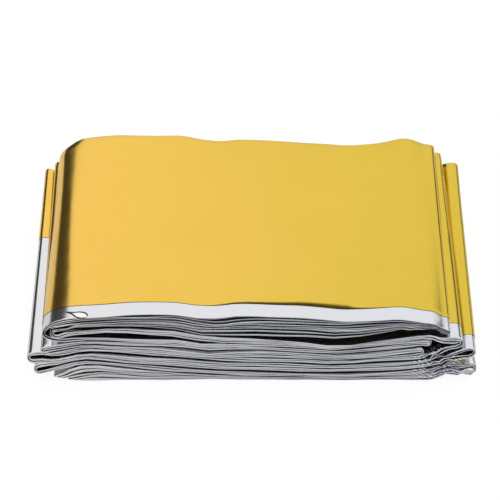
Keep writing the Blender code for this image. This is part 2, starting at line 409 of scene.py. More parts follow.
print("points round a plain fold:", len(turn(RIGHT_FOLDS[0], +1, 0.0, True)))

# %% [markdown]
# ## The strip's middle line
#
# Walking along the strip, run after fold after run, gives a line in X and Z. The line is made
# once for each of fifteen depths, from front to back, and anything between them is blended. A
# station's place counts runs along the strip: whole on a run, and between two numbers on the
# fold that joins them.

# %% The middle line
DEPTH_COUNT = 15

Line = namedtuple("Line", "x z thick front across_x across_z place")


def strip_line(depth):
    """The middle line of the whole strip at one depth."""
    rows = []
    for number, run in enumerate(STRIP_ORDER):
        to_right = number % 2 == 0
        places = blend(*run_ends(run, depth), run_shares(run))
        places = places if to_right else places[::-1]
        heights = middle(run, places, depth)
        level_share = np.cos(np.arctan(np.gradient(heights, places)))
        thicks = thickness(run, places, depth) * level_share
        rows += [(x, z, t, RUNS[run].front, number) for x, z, t in zip(places, heights, thicks)]
        if number + 1 < len(STRIP_ORDER):
            side = +1 if to_right else -1
            bend = turn(fold_at(run, side), side, depth, STRIP_ORDER[number + 1] > run)
            rows += [(*values, number + share) for *values, share in bend]
    x, z, thick, front, place = np.array(rows).T
    along_x, along_z = np.gradient(x), np.gradient(z)
    length = np.hypot(along_x, along_z)
    return Line(x, z, thick, front, -along_z / length, along_x / length, place)


lines = [strip_line(depth) for depth in np.linspace(0.0, 1.0, DEPTH_COUNT)]
front_line, back_line = lines[0], lines[-1]
place = front_line.place
station_count = len(place)
walked = np.hypot(np.diff(front_line.x), np.diff(front_line.z))
along = np.concatenate(([0.0], np.cumsum(walked)))
print("stations along the strip:", station_count, "and its length:", round(float(along[-1])), "mm")

# %% [markdown]
# ## The pleats
#
# The sheet zigzags through the strip in 26 plies. Counting from the gold face, plies 0 and 1
# are joined at the back, 1 and 2 at the front, and so on, so every front fold shows silver
# and every back fold shows gold. Ply 0 stops short of the front and leaves a silver margin,
# and the last one is only a flap along the back. A pleat doesn't stay the same along the
# strip, so slow random waves, a set for each fold, change it on the way.

# %% Numbers of the pleats
PLIES = 26
FRONT_FOLDS = PLIES // 2 - 1
BACK_FOLDS = PLIES // 2
DRIFT_PERIODS = (150.0, 67.0, 29.0)
STRETCH = (0.8, 1.25)

rng = np.random.default_rng(7)


def drift(count, periods=DRIFT_PERIODS):
    """Smooth random curves along the strip, one for each fold, roughly within -1 to 1."""
    total = np.zeros((count, station_count))
    for period in periods:
        phase = rng.uniform(0.0, 2.0 * math.pi, (count, 1))
        stretch = rng.uniform(*STRETCH, (count, 1))
        total += np.sin(2.0 * math.pi * along / (period * stretch) + phase)
    return total / len(periods) ** 0.5


print("plies:", PLIES, "with", FRONT_FOLDS, "front folds and", BACK_FOLDS, "back folds")

# %% [markdown]
# ## What changes along the strip
#
# The table of runs holds for a whole run, but a run gapes and leans most near its ends, and
# its front isn't straight. Each row here changes one place of a run, fading out over a width
# to both sides: how far the front stands forward, how much more of it is air, and how much
# more its pleats lean back.

# %% Local changes
Local = namedtuple("Local", "level x width forward gaping slant")
LOCALS = (
    Local(0, 66.0, 12.0, 0.3, 0.0, 0.0),
    Local(0, -55.0, 17.0, 0.9, 0.0, 0.0),
    Local(1, -45.0, 30.0, -0.5, 0.0, 0.0),
    Local(2, 24.0, 38.0, 0.8, -0.1, 1.3),
    Local(2, 66.0, 12.0, 0.3, 0.25, 0.6),
    Local(2, -62.0, 16.0, 0.0, 0.15, 0.3),
    Local(3, -20.0, 40.0, 0.4, 0.0, 0.2),
    Local(3, -64.0, 18.0, 0.0, 0.25, 0.3),
    Local(3, 58.0, 12.0, 0.0, 0.2, 0.2),
    Local(4, -64.0, 18.0, 0.0, 0.2, 0.3),
    Local(4, 58.0, 12.0, 0.0, 0.25, 0.2),
    Local(5, -14.0, 26.0, 1.0, 0.0, 0.0),
    Local(5, 40.0, 30.0, 0.5, 0.0, 0.2),
    Local(5, -62.0, 16.0, 0.0, 0.25, 0.3),
    Local(6, -62.0, 16.0, 0.0, 0.2, 0.3),
    Local(6, 56.0, 12.0, 0.0, 0.2, 0.2),
    Local(7, -62.0, 16.0, 0.0, 0.25, 0.3),
    Local(7, 66.0, 14.0, 0.2, 0.3, 0.3),
    Local(8, -30.0, 45.0, 0.5, 0.05, 0.0),
    Local(8, 68.0, 16.0, 0.0, 0.25, 0.0),
    Local(9, 68.0, 14.0, -0.4, 0.3, 0.3),
    Local(10, 20.0, 60.0, 0.6, 0.0, 0.2),
    Local(10, 68.0, 14.0, -0.2, 0.3, 0.4),
    Local(11, 69.0, 12.0, 0.3, 0.2, 0.5),
)
print("local changes:", len(LOCALS))

# %% [markdown]
# Both tables are then read at every station at once, as arrays: a column of the table of runs,
# with its steps blended round the folds, and on it the same column of the local changes.

# %% Reading them along the strip
def on_run(level):
    """True at the stations of a run, up to halfway round the folds at its ends."""
    return abs(place - STRIP_ORDER.index(level)) < 0.5


def along_strip(values):
    """One value for each run of the strip, blended round the folds, at every station."""
    return np.interp(place, range(len(STRIP_ORDER)), values)


def along_runs(name):
    """A column of the table of runs, at every station."""
    return along_strip([getattr(RUNS[level], name) for level in STRIP_ORDER])


def locally(name):
    """A column of the local changes, at every station."""
    total = np.zeros(station_count)
    for local in LOCALS:
        share = 1.0 - ease(abs(front_line.x - local.x) / local.width)
        total += getattr(local, name) * on_run(local.level) * share
    return total


gaping = along_runs("gaping") + locally("gaping")
slant = along_runs("slant") + locally("slant")
print("air in the front, least and most:", gaping.min().round(2), gaping.max().round(2))

# %% [markdown]
# ## Proud folds and tucked folds
#
# In a real packet most folds are tucked behind a few proud ones. So each fold gets a weight,
# and the weights share the thickness out. A heavy fold opens and stands forward, and a light
# one is squeezed between its neighbours. The slits of air between the folds are shared out in
# the same way, so a big slit opens beside a proud fold.

# %% Weights of the folds
LIGHT = 0.012
LIGHT_BACK = 0.12
DRIFT = 0.42
BACK_PROUD_SHARE = 0.3
BACK_GAPING = 0.35


def shared_out(proud, light, share):
    """Weights that drift along the strip and add up to a share of its thickness."""
    weights = (light + proud) * np.exp(DRIFT * drift(len(proud)))
    return weights * (share / weights.sum(axis=0))


proud = np.array([
    along_strip([number in RUNS[level].proud for level in STRIP_ORDER]) for number in range(FRONT_FOLDS)
])
noses = shared_out(proud, LIGHT, 1.0 - gaping)
slits = shared_out(proud[1:], LIGHT, gaping)

back_proud = rng.random((BACK_FOLDS, len(STRIP_ORDER))) < BACK_PROUD_SHARE
back_proud[[0, -1]] = True
back_proud = np.array([along_strip(row) for row in back_proud])
back_noses = shared_out(back_proud, LIGHT_BACK, 1.0 - BACK_GAPING)
back_slits = shared_out(back_proud[1:], LIGHT_BACK, BACK_GAPING)
print("thickest front fold, as a share of its run:", noses.max().round(2))

# %% [markdown]
# ## Places of the plies
#
# From the weights come the places of the plies across the strip. A place of +0.5 is the face
# that the gold edge lies on and -0.5 is the other face. Each ply has one place at the front
# and one at the back, and lies straight between them, so plies never cross.

# %% Places of the plies
EDGE_GAP = 0.12


def stacked(noses, slits):
    """Places of the plies' ends, counted down from +0.5: a nose, a slit, a nose and so on."""
    steps = np.zeros((len(noses) + len(slits), noses.shape[1]))
    steps[0::2] = noses
    steps[1::2] = slits
    return 0.5 - np.concatenate((np.zeros((1, steps.shape[1])), np.cumsum(steps, axis=0)))


# At the front, plies 1 to 24 make room for the gold edge on top of them. Ply 0 and the flap
# have no front fold, so they lie along the two faces.
edge_room = EDGE_GAP / front_line.thick
folded_ends = -0.5 + (stacked(noses, slits) + 0.5) * (1.0 - edge_room)
face = np.full((1, station_count), 0.5)
front_ends = np.concatenate((face, folded_ends, -face))
back_ends = stacked(back_noses, back_slits)
print("plies with a place at the front and at the back:", len(front_ends), len(back_ends))

# %% [markdown]
# ## The lip of the gold edge
#
# Along the top run the sheet behind the gold edge has sprung up, and its edge hangs down to
# the silver margin as a small lip, highest near the right third. The lip is a height for each
# X, and a few extra rows close behind the edge give it its rounded fall.

# %% Lip
LIP_X = (-20.0, 0.0, 28.0, 32.0, 35.5, 50.0)
LIP_HEIGHT = (0.0, 0.7, 1.5, 1.6, 0.5, 0.1)

# The fall is as long as the lip is high, and a little more. Its rows lie at these shares of
# the fall, and reach these shares of the height. Deeper plies rise from one depth on.
LIP_LEAST = 0.1
HANGING = (0.0, 0.64, 0.88)
LIP_SHARES = (0.0, 0.85, 1.0)
LIP_DEPTH = 0.09
LIP_FOLLOWS = 0.25


def lip_ridge(x):
    """Height of the lip along the top run, and 0 on all other runs."""
    return np.interp(x, LIP_X, LIP_HEIGHT) * on_run(0)


print("highest place of the lip:", lip_ridge(front_line.x).max().round(2), "mm")

# %% [markdown]
# ## Where the folds end in Y
#
# A pressed packet still isn't flush: tucked folds are set back behind the proud ones, every
# fold wanders by a fraction of a millimetre, and the back left corner of the top run is pushed
# in. So the front and the back each have one Y for every fold at every station.

# %% Front and back of the folds
PLY_DEPTH = 83.4
END_INSET = 0.1
SET_BACK = 1.4
PROUD_GAIN = 1.2
RAGGED = 0.22
RAGGED_PERIODS = (90.0, 31.0)
CORNER_X = -58.5
CORNER_WIDTH = 7.5
CORNER_TUCK = 3.6
CORNER_REACH = 0.8

# The corner takes in the fold that leads to the top run, and the run on either side of it.
top_fold = STRIP_ORDER.index(0) - 0.5
by_corner = abs(place - top_fold) < CORNER_REACH
corner = ease((CORNER_X - back_line.x) / CORNER_WIDTH) * by_corner
ragged_front = RAGGED * drift(FRONT_FOLDS, RAGGED_PERIODS) + locally("forward")
ragged_back = RAGGED * drift(BACK_FOLDS, RAGGED_PERIODS) - CORNER_TUCK * corner
tucked = 1.0 - np.clip(proud * PROUD_GAIN, 0.0, 1.0)
front_y = front_line.front + END_INSET + SET_BACK * tucked - ragged_front
back_y = front_line.front + END_INSET + PLY_DEPTH + ragged_back
print("front folds end from", front_y.min().round(1), "to", front_y.max().round(1), "mm")

# %% [markdown]
# ## Rows across the sheet
#
# The mesh is a grid: its columns are the stations along the strip, and its rows follow the
# sheet from its gold edge, through ply after ply, to its last flap. A row says how deep in
# the strip it lies, where it is across the strip, where it is in Y, and which side of the film
# is seen there. First the rows that lie flat in a ply. The outer plies get more of them.

# %% Rows of a ply
# Depths run from 0 at the front to 1 at the back, and shares are of the margin and the flap.
LAST_FLAP = 32.5
TOP_DEPTHS = (0.11, 0.15, 0.21, 0.3, 0.4, 0.52, 0.64, 0.78, 0.9, 0.97)
MARGIN_SHARES = (0.1, 0.3, 0.55, 0.8)
UNDER_DEPTHS = (0.01, 0.05, 0.14, 0.34)
FLAP_SHARES = (1.0, 0.66, 0.33, 0.05)
INNER_DEPTHS = (0.012, 0.22, 0.5, 0.985)
OUTER_DEPTHS = (0.012, 0.065, 0.22, 0.5, 0.985)
OUTER_PLIES = (2, 3, 4, 5, 20, 21, 22, 23)
GOLD, SILVER = 0, 1

Row = namedtuple("Row", "depth across y finish")
margin = along_runs("margin") / PLY_DEPTH


def depths_of(ply):
    """Depths of a ply's rows, from the front to the back."""
    if ply == 0:
        hang = LIP_LEAST + lip_ridge(front_line.x)
        lip = [margin + behind * hang / PLY_DEPTH for behind in HANGING]
        stretch = (1.0 - lip[-1]) / (1.0 - LIP_DEPTH)
        return lip + [1.0 - (1.0 - depth) * stretch for depth in TOP_DEPTHS]
    if ply == 1:
        return [margin * share for share in MARGIN_SHARES] + depths_of(0)
    if ply == PLIES - 1:
        return [1.0 - LAST_FLAP * share / PLY_DEPTH for share in FLAP_SHARES]
    if ply == PLIES - 2:
        return list(UNDER_DEPTHS) + depths_of(PLIES - 1)
    return OUTER_DEPTHS if ply in OUTER_PLIES else INNER_DEPTHS


def finish_of(ply, depth):
    """The side of the film that shows: known on the outer plies, and split on the inner ones."""
    if ply in (0, PLIES - 1):
        return GOLD
    if ply in (1, PLIES - 2):
        return SILVER
    return SILVER if depth < 0.5 else GOLD


def ply_rows(ply, depths):
    """The rows of one ply at these depths."""
    front = front_y[min(max((ply - 1) // 2, 0), FRONT_FOLDS - 1)]
    back = back_y[min(ply // 2, BACK_FOLDS - 1)]
    rows = []
    for depth in depths:
        across = blend(front_ends[ply], back_ends[ply], depth)
        rows.append(Row(depth, across, blend(front, back, depth), finish_of(ply, depth)))
    return rows


print("rows in the top ply and in the one under it:", len(depths_of(0)), len(depths_of(1)))

# %% [markdown]
# ## Noses of the folds
#
# A nose joins one ply to the next: a few points on a rounded profile, each with how far across
# and how far out it lies. The proud ones get eight points, because light runs along them in a
# thin line, and three are enough for the tucked ones. A nose can also lean, so that its upper
# half lies further back than its lower one.

# %% Rows of a fold
PROUD_NOSE = (
    (1.0, 0.0), (0.88, 0.6), (0.64, 0.9), (0.3, 1.0), (-0.3, 1.0), (-0.64, 0.9), (-0.88, 0.6), (-1.0, 0.0)
)
PLAIN_NOSE = ((1.0, 0.0), (0.0, 1.0), (-1.0, 0.0))
BACK_NOSE = ((1.0, 0.0), (0.6, 0.9), (-0.6, 0.9), (-1.0, 0.0))
NOSE_LENGTH = 0.62
NOSE_LEAST = 0.06
NOSE_MOST = 0.45

ever_proud = {number for run in RUNS for number in run.proud}
# +1 on the runs with the gold edge on top, and -1 on those that lie the other way up.
face_up = np.where(np.round(place) % 2 == 0, 1.0, -1.0)

Side = namedtuple("Side", "depth ends thick y outwards lean finish")
FRONT = Side(0.0, front_ends, front_line.thick, front_y, -1.0, slant * face_up, SILVER)
BACK = Side(1.0, back_ends, back_line.thick, back_y, +1.0, 0.0, GOLD)


def fold_rows(ply, side, profile):
    """The nose that joins a ply to the next one, at one side of the strip."""
    middle_place = (side.ends[ply] + side.ends[ply + 1]) / 2
    half = (side.ends[ply] - side.ends[ply + 1]) / 2
    height = half * side.thick
    out = np.clip(2.0 * height * NOSE_LENGTH, NOSE_LEAST, NOSE_MOST)
    rows = []
    for across, share in profile:
        y = side.y[ply // 2] + side.outwards * (out * share - side.lean * height * across)
        rows.append(Row(side.depth, middle_place + half * across, y, side.finish))
    return rows


print("points of a proud nose and of a plain one:", len(PROUD_NOSE), len(PLAIN_NOSE))

# %% [markdown]
# Now the sheet is walked from its gold edge to its flap. Even plies lead from the front to the
# back and end in a back fold, and odd ones come back and end in a front fold.

# %% All rows of the sheet
def sheet_rows():
    """All rows of the sheet, from its gold edge to its last flap."""
    rows = []
    for ply in range(PLIES):
        depths = depths_of(ply)
        if ply % 2 == 0:
            rows += ply_rows(ply, depths) + fold_rows(ply, BACK, BACK_NOSE)
            continue
        rows += ply_rows(ply, depths[::-1])
        if ply < PLIES - 1:
            rows += fold_rows(ply, FRONT, PROUD_NOSE if ply // 2 in ever_proud else PLAIN_NOSE)
    return rows


rows = sheet_rows()
print("rows across the sheet:", len(rows), "points:", len(rows) * station_count)

# %% [markdown]
# ## From rows and stations to points
#
# Every point is found from its row and its station: the strip's middle line is looked up at
# the row's depth, and the point lies sideways from it. The rows behind the gold edge are raised
# by the lip, and the plies under it follow less and less.

# %% Points of the sheet
TOP_ROWS = len(HANGING) + len(TOP_DEPTHS)


def look_up(name, depth):
    """A field of the middle line at a depth for each station."""
    position = np.clip(depth, 0.0, 1.0) * (DEPTH_COUNT - 1)
    lower = np.minimum(position.astype(int), DEPTH_COUNT - 2)
    stack = np.array([getattr(line, name) for line in lines])
    stations = np.arange(station_count)
    return blend(stack[lower, stations], stack[lower + 1, stations], position - lower)


def lip_lift(depth, across, number, x):
    """How far a row rises behind the gold edge, which itself hangs down to the next ply."""
    if number < TOP_ROWS:
        share = LIP_SHARES[number] if number < len(LIP_SHARES) else 1.0
        return lip_ridge(x) * share * (1.0 - depth)
    later = ease((depth - LIP_DEPTH) / LIP_FOLLOWS)
    return lip_ridge(x) * later * (1.0 - depth) * (across + 0.5)


def sheet_points():
    """The points of the sheet in millimetres, by row and station."""
    points = np.empty((len(rows), station_count, 3))
    for number, row in enumerate(rows):
        depth = np.broadcast_to(row.depth, (station_count,))
        x, z, thick = (look_up(name, depth) for name in ("x", "z", "thick"))
        side_x, side_z = look_up("across_x", depth), look_up("across_z", depth)
        offset = row.across * thick
        points[number, :, 0] = x + side_x * offset
        points[number, :, 1] = row.y
        points[number, :, 2] = z + side_z * offset + lip_lift(depth, row.across, number, x)
    return points


points = sheet_points()
print("lowest and highest point:", points[..., 2].min().round(1), points[..., 2].max().round(1), "mm")

# %% [markdown]
# ## The end at the lower left
#
# The last run doesn't end in a straight cut. Its plies stop one after the other, the lower ones
# first, and the thin tip hangs down. Moving the points that are there already keeps the
# sheet in one piece, so each ply is pulled back by its place in the run, and the tip is lowered.

# %% Staggered end
STAGGER = 7.5
STAGGER_POWER = 1.5
STAGGERED_FROM = -46.0
TIP_DROPS_FROM = -58.5
TIP_DROP = 0.35


def stagger_end(points):
    """Slope the end of the last run, and let its tip hang."""
    here = on_run(LAST_RUN)
    for number, row in enumerate(rows):
        above = np.clip(0.5 - row.across, 0.0, 1.0)
        x = points[number, :, 0]
        near_end = np.clip((STAGGERED_FROM - x) / (STAGGERED_FROM - LAST_END), 0.0, 1.0) * here
        drop = ease((TIP_DROPS_FROM - x) / (TIP_DROPS_FROM - LAST_END)) * here
        points[number, :, 0] = x + STAGGER * (1.0 - above) ** STAGGER_POWER * near_end
        points[number, :, 2] *= 1.0 - TIP_DROP * drop
    return points


points = stagger_end(points)
last_x = points[:, -1, 0]
print("the plies of the last run end from X", last_x.min().round(1), "to", last_x.max().round(1), "mm")

# %% [markdown]
# ## Crumples
#
# Handling has crumpled the right ends of the low runs and the corners of the packet. A crumple
# is a smooth push through space: every point near its centre is moved by a noise of its own
# position. Two plies that lie close together get nearly the same push, so that they dent
# together rather than cut through each other. Each crumple has a centre, a reach and a size of
# creases along the three axes, and a strength. The noise is sampled along slanted axes, because
# creases seldom run level. Blender seeds its noise from the clock, so each crumple sets its own
# seed, and the packet is crumpled in the same way each time.

# %% Crumples
Crumple = namedtuple("Crumple", "x y z reach size push seed")
CRUMPLES = (
    Crumple(66.0, -42.0, 7.0, (12.0, 12.0, 8.0), (5.0, 5.0, 2.2), 1.6, 5),
    Crumple(61.0, -42.0, 13.0, (9.0, 8.0, 6.0), (3.2, 4.0, 2.6), 2.0, 5),
    Crumple(62.0, -42.0, 4.5, (9.0, 8.0, 5.0), (1.9, 3.0, 1.5), 1.0, 5),
    Crumple(71.0, -43.0, 4.0, (8.0, 8.0, 5.0), (2.6, 3.0, 2.0), 1.5, 5),
    Crumple(-60.0, -40.0, 6.0, (14.0, 8.0, 8.0), (6.0, 4.5, 3.5), 0.8, 6),
    Crumple(-59.0, -40.0, 23.0, (12.0, 7.0, 6.0), (2.6, 2.8, 2.2), 1.4, 6),
    Crumple(56.0, -41.0, 23.0, (14.0, 6.0, 7.0), (3.4, 3.0, 2.4), 1.1, 2),
)
GRAIN_TILT = math.radians(32.0)
GRAIN = np.array(Matrix.Rotation(GRAIN_TILT, 3, "Y"))
NOISE_APART = 10.0


def crumple_push(flat):
    """How the crumples move each point of a flat list."""
    push = np.zeros_like(flat)
    for number, crumple in enumerate(CRUMPLES):
        noise.seed_set(crumple.seed)
        centre = np.array([crumple.x, crumple.y, crumple.z])
        away = np.linalg.norm((flat - centre) / crumple.reach, axis=1)
        strength = crumple.push * (1.0 - ease(away))
        near = np.nonzero(strength > 0.0)[0]
        shifted = flat[near] @ GRAIN / crumple.size + NOISE_APART * number
        found = np.array([noise.noise_vector(Vector(point)) for point in shifted])
        push[near] += found * strength[near, None]
    return push


flat_points = points.reshape(-1, 3)
push = crumple_push(flat_points)
print("points that a crumple moves:", int(np.any(push != 0.0, axis=1).sum()))

# %% [markdown]
# Two soft dents lie in the silver margin of the top run, one pressed in and one raised. They
# move only points near the top, and fade downwards over a few millimetres. In the end every
# point that was pushed into the floor is set back on it.

# %% Dents
Dent = namedtuple("Dent", "x y half_x half_y up")
DENTS = (
    Dent(52.0, -40.2, 2.2, 1.6, -0.8),
    Dent(61.0, -38.0, 3.0, 2.2, 0.35),
)
DENT_FADE = 1.5
DENT_DEPTH = 3.0
TOP_HEIGHT = 28.0
LOWEST = 0.02

for dent in DENTS:
    away = np.hypot((flat_points[:, 0] - dent.x) / dent.half_x, (flat_points[:, 1] - dent.y) / dent.half_y)
    below = np.clip((TOP_HEIGHT - flat_points[:, 2]) / DENT_DEPTH, 0.0, 1.0)
    push[:, 2] += dent.up * (1.0 - ease(away / DENT_FADE)) * (1.0 - below)

points = (flat_points + push).reshape(points.shape)
points[..., 2] = np.maximum(points[..., 2], LOWEST)
print("highest after crumpling:", points[..., 2].max().round(1), "mm")

# %% [markdown]
# ## The mesh
#
# One grid of quads joins the points. Its UV map measures the flat sheet in metres, so a shader
# can follow the film through its folds. The film's two sides differ, so each face gets the
# material of the side that is seen from outside the packet there.

# %% Build the sheet
RECENTRE = np.array([1.1436, -0.35, 0.0])


def build_sheet():
    """The sheet as one object, with its flat measures as a UV map."""
    grid = (points - RECENTRE) * TO_METRES
    index = np.arange(len(rows) * station_count).reshape(len(rows), station_count)
    quads = np.stack([index[:-1, :-1], index[1:, :-1], index[1:, 1:], index[:-1, 1:]], axis=-1)
    mesh = bpy.data.meshes.new("foil_sheet")
    mesh.from_pydata(grid.reshape(-1, 3), [], quads.reshape(-1, 4).tolist())
    finish = np.array([row.finish for row in rows])
    per_face = np.repeat(finish[:-1], station_count - 1)
    mesh.polygons.foreach_set("material_index", per_face.astype(np.int32))
    walked_across = np.linalg.norm(np.diff(grid, axis=0), axis=2).mean(axis=1)
    across = np.concatenate(([0.0], np.cumsum(walked_across)))
    flat = np.stack(np.meshgrid(along * TO_METRES, across), axis=-1).reshape(-1, 2)
    layer = mesh.uv_layers.new(name="flat_sheet")
    corners = np.empty(len(mesh.loops), np.int32)
    mesh.loops.foreach_get("vertex_index", corners)
    layer.data.foreach_set("uv", flat[corners].astype(np.float32).ravel())
    mesh.shade_smooth()
    sheet = bpy.data.objects.new("foil_sheet", mesh)
    bpy.context.scene.collection.objects.link(sheet)
    print("flat sheet:", round(float(along[-1] * TO_METRES), 3), "by", round(float(across[-1]), 3), "m")
    return sheet


sheet = build_sheet()
print("triangles:", len(sheet.data.polygons) * 2)

# %% [markdown]
# ## Helpers for shader nodes
#
# A material is a graph. Each node is added, its inputs get a number or a link, and its output
# goes on to the next node. In code that takes many near-equal lines, so a few helpers take
# them up: an input may be given either way, by its name or its number, and a result comes back
# as a socket.

# %% Node helpers
def feed(tree, sockets, values):
    """Give inputs a number or a colour each, or link another node's output to them."""
    for key, value in values.items():
        if isinstance(value, bpy.types.NodeSocket):
            tree.links.new(value, sockets[key])
        else:
            sockets[key].default_value = value


def node(tree, kind, inputs=None, **settings):
    """A new node with its settings, and with what its inputs are given."""
    made = tree.nodes.new(kind)
    for name, value in settings.items():
        setattr(made, name, value)
    feed(tree, made.inputs, inputs or {})
    return made


def math_node(tree, operation, *values, clamp=False):
    """The result of a Math node."""
    made = node(tree, "ShaderNodeMath", dict(enumerate(values)), operation=operation, use_clamp=clamp)
    return made.outputs["Value"]


def vector_node(tree, operation, *values):
    """The result of a Vector Math node: a vector from SUBTRACT, and a number from the others."""
    made = node(tree, "ShaderNodeVectorMath", dict(enumerate(values)), operation=operation)
    return made.outputs["Vector" if operation == "SUBTRACT" else "Value"]


def smooth_range(tree, value, low, high, first=0.0, last=1.0):
    """first below low, last above high, and a smooth change between."""
    inputs = {"Value": value, "From Min": low, "From Max": high, "To Min": first, "To Max": last}
    return node(tree, "ShaderNodeMapRange", inputs, interpolation_type="SMOOTHSTEP").outputs["Result"]


print("helpers:", [helper.__name__ for helper in (feed, node, math_node, vector_node, smooth_range)])

# %% [markdown]
# ## The blister
#
# At the left of the silver margin the film has pinched into a small blister, 7 mm long, shaped
# like a drop. Its inside catches the light, and a tight crease round it traps shade. The crease
# is far finer than the mesh, and finer mesh for it alone would break the even grid. So it is
# drawn on the flat sheet instead, in metres: a curve gives its half width along its length,
# and two masks follow from it, one for the crease and one for the inside. The crease's mask
# paints shade into the colour, and the inside's mask raises the bump a little and paints a
# highlight into the colour.

# %% Blister
BLISTER_TIP = (0.4734, 0.156, 0.0)
BLISTER_RUNS = (0.88, 0.475, 0.0)
BLISTER_WIDENS = (0.475, -0.88, 0.0)
BLISTER_LENGTH = 0.0074
BLISTER_HALF = 0.0017
BLISTER_OUTLINE = ((0.3, 0.28), (0.62, 0.95), (0.76, 1.0), (0.9, 0.72))
BLISTER_FADE = 0.03
BLISTER_RIM = (0.00026, 0.0005)
BLISTER_HEIGHT = 2.0


def blister_width(group, share):
    """Half the blister's width, from the share of its length."""
    outline = node(group, "ShaderNodeFloatCurve", {"Value": share})
    curve = outline.mapping.curves[0]
    curve.points[0].location = (0.0, 0.0)
    curve.points[1].location = (1.0, 0.0)
    for point in BLISTER_OUTLINE:
        curve.points.new(*point)
    outline.mapping.update()
    return math_node(group, "MULTIPLY", outline.outputs["Value"], BLISTER_HALF)


def blister_masks(group, on_sheet):
    """Masks of the blister's rim, for painted crease shade, and of its inside, for a raised bump and a
    painted highlight.
    """
    from_tip = vector_node(group, "SUBTRACT", on_sheet, BLISTER_TIP)
    forwards = vector_node(group, "DOT_PRODUCT", from_tip, BLISTER_RUNS)
    sideways = vector_node(group, "DOT_PRODUCT", from_tip, BLISTER_WIDENS)
    share = math_node(group, "DIVIDE", forwards, BLISTER_LENGTH)
    aside = math_node(group, "ABSOLUTE", sideways)
    outwards = math_node(group, "SUBTRACT", aside, blister_width(group, share))
    after_tip = smooth_range(group, share, -BLISTER_FADE, 0.0)
    before_end = smooth_range(group, share, 1.0, 1.0 + BLISTER_FADE, 1.0, 0.0)
    within = math_node(group, "MULTIPLY", after_tip, before_end)
    near_rim = smooth_range(group, math_node(group, "ABSOLUTE", outwards), *BLISTER_RIM, 1.0, 0.0)
    inwards = smooth_range(group, outwards, -BLISTER_RIM[1], 0.0, 1.0, 0.0)
    return [math_node(group, "MULTIPLY", mask, within) for mask in (near_rim, inwards)]


print("blister:", BLISTER_LENGTH / TO_METRES, "mm long and", 2 * BLISTER_HALF / TO_METRES, "mm wide")

# %% [markdown]
# ## Mottle and streaks
#
# Metallised film is a mirror that has been rolled, pleated and handled. Its colour drifts from
# one end of the packet to the other with a soft mottle, and faint streaks run along the roll.
# The drift is a plain gradient with a noise added, in the packet's own space, so that it goes
# on from one ply to the next. The streaks are a noise too, but on the flat sheet, because the
# roll made them, and squashed so that its spots become lines.

# %% Mottle and streaks
HALF_PACKET = 0.075
MOTTLE_SCALE = 22.0
MOTTLE_DETAIL = 2.0
MOTTLE_SHARE = 0.5
STREAK_SQUASH = (0.04, 1.0, 1.0)
STREAK_DETAIL = 3.0


def colour_drift(group, in_packet):
    """From 0 at the left of the packet to 1 at its right, with a soft mottle."""
    x = node(group, "ShaderNodeSeparateXYZ", {"Vector": in_packet}).outputs["X"]
    ends = {"From Min": -HALF_PACKET, "From Max": HALF_PACKET}
    gradient = node(group, "ShaderNodeMapRange", {"Value": x, **ends})
    inputs = {"Vector": in_packet, "Scale": MOTTLE_SCALE, "Detail": MOTTLE_DETAIL}
    mottle = node(group, "ShaderNodeTexNoise", inputs)
    change = math_node(group, "MULTIPLY_ADD", mottle.outputs["Fac"], MOTTLE_SHARE, -MOTTLE_SHARE / 2)
    return math_node(group, "ADD", gradient.outputs["Result"], change, clamp=True)


def roll_streaks(group, on_sheet, size):
    """Faint streaks along the roll, from 0 to 1."""
    squash = node(group, "ShaderNodeMapping", {"Vector": on_sheet, "Scale": STREAK_SQUASH})
    scale = math_node(group, "DIVIDE", 1.0, size)
    inputs = {"Vector": squash.outputs["Vector"], "Scale": scale, "Detail": STREAK_DETAIL}
    return node(group, "ShaderNodeTexNoise", inputs).outputs["Fac"]


print("streaks are", round(1.0 / STREAK_SQUASH[0]), "times as long as wide")

# %% [markdown]
# ## Crinkles and crushed pleats
#
# Tiny crinkles cover the whole film, as sharp ridges and not as round bumps, so their noise is
# the ridged kind. At the crushed front right corner the film is pleated as finely as a fan: a
# wave texture, bent by its own distortion, which fades out round that corner. Both only shape
# the height for the bump.

# %% Crinkles
CRINKLE_DETAIL = 2.0
CRUSHED_AT = (0.0615, -0.042, 0.007)
CRUSHED_REACH = (0.004, 0.0115)
CRUSHED_HEIGHT = 5.0
CRUSHED_PLEATS = {"Scale": 330.0, "Distortion": 7.0, "Detail": 2.0, "Detail Scale": 1.5}


def crinkle_height(group, in_packet, size):
    """Sharp tiny ridges all over the film."""
    inputs = {"Vector": in_packet, "Scale": math_node(group, "DIVIDE", 1.0, size), "Detail": CRINKLE_DETAIL}
    return node(group, "ShaderNodeTexNoise", inputs, noise_type="RIDGED_MULTIFRACTAL").outputs["Fac"]


def crushed_height(group, in_packet):
    """Fine pleats, only round the crushed corner."""
    away = vector_node(group, "DISTANCE", in_packet, CRUSHED_AT)
    crushed = smooth_range(group, away, *CRUSHED_REACH, CRUSHED_HEIGHT, 0.0)
    inputs = {"Vector": in_packet, **CRUSHED_PLEATS}
    pleats = node(group, "ShaderNodeTexWave", inputs, bands_direction="DIAGONAL")
    return math_node(group, "MULTIPLY", pleats.outputs["Fac"], crushed)


reach = [length / TO_METRES for length in CRUSHED_REACH]
print("the crushed corner is full within", reach[0], "mm and gone beyond", reach[1], "mm")

# %% [markdown]
# ## What both sides of the film share
#
# Gold and silver are two sides of one film, so they carry the same marks at the same places.
# All marks are one node group, built once and placed in each material with its own values. It
# puts out only what changes over the surface: the drift between two tints, the roughness, the
# height for a bump, and the blister's two masks, one for painted shade in its crease and one
# for a painted highlight inside it.

# %% Shared film surface
GROUP_INPUTS = ("Crinkle Size", "Streak Size", "Crinkle", "Least Rough", "Most Rough")
GROUP_OUTPUTS = ("Drift", "Roughness", "Height", "Painted Crease Shade", "Blister")


